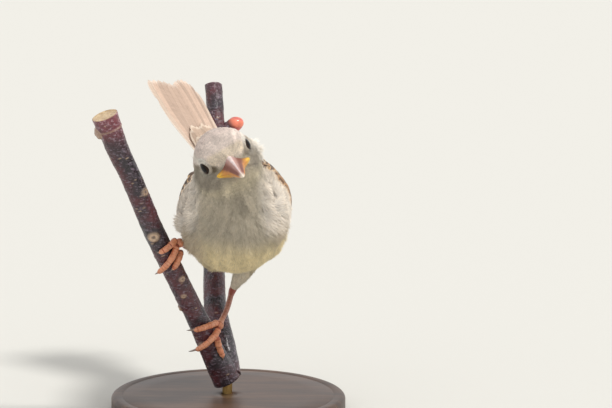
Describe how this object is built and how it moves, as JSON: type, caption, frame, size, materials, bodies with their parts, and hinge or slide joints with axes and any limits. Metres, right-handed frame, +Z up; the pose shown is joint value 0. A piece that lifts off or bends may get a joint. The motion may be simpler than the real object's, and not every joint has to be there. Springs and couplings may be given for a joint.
{
  "type": "house sparrow",
  "caption": "Life-size young house sparrow, perched with cocked tail and turned head on a cut forked twig, held by a short rod on a round base.",
  "frame": {"origin": "middle of the underside of the stand's round base", "axes": "+Z up, the bird's breast faces -Y, and +X is to the bird's left, which is the viewer's right in the picture"},
  "size_m": [0.0899, 0.126, 0.1136],
  "materials": {
    "down": "soft grey-buff body feathers, matt",
    "wing_feathers": "brown flight feathers with buff edges, matt",
    "tail_feathers": "pale brown tail feathers with buff edges, slightly silky",
    "eye": "wet, almost black",
    "bill": "horn, pinkish with a yellow gape, satin",
    "leg": "salmon-orange scaly skin, satin",
    "claw": "grey horn, satin",
    "bark": "dark red-brown bark, waxy, with pale scars",
    "stand": "black-stained wood, satin",
    "rod": "satin brass"
  },
  "bodies": {
    "root": {"head": "down", "neck": "down", "trunk": "down", "eye_left": "eye", "eye_right": "eye", "bill_upper": "bill", "bill_lower": "bill", "wing_left": "wing_feathers", "wing_right": "wing_feathers", "tail": "tail_feathers", "perch_stem": "bark", "perch_branch": "bark", "thigh_left": "down", "foot_left": "leg", "tarsus_left": "leg", "toe_left_1": "leg", "claw_left_1": "claw", "toe_left_2": "leg", "claw_left_2": "claw", "toe_left_3": "leg", "claw_left_3": "claw", "toe_left_4": "leg", "claw_left_4": "claw", "thigh_right": "down", "foot_right": "leg", "tarsus_right": "leg", "toe_right_1": "leg", "claw_right_1": "claw", "toe_right_2": "leg", "claw_right_2": "claw", "toe_right_3": "leg", "claw_right_3": "claw", "toe_right_4": "leg", "claw_right_4": "claw", "stand_base": "stand", "stand_rod": "rod"}
  },
  "joints": []
}
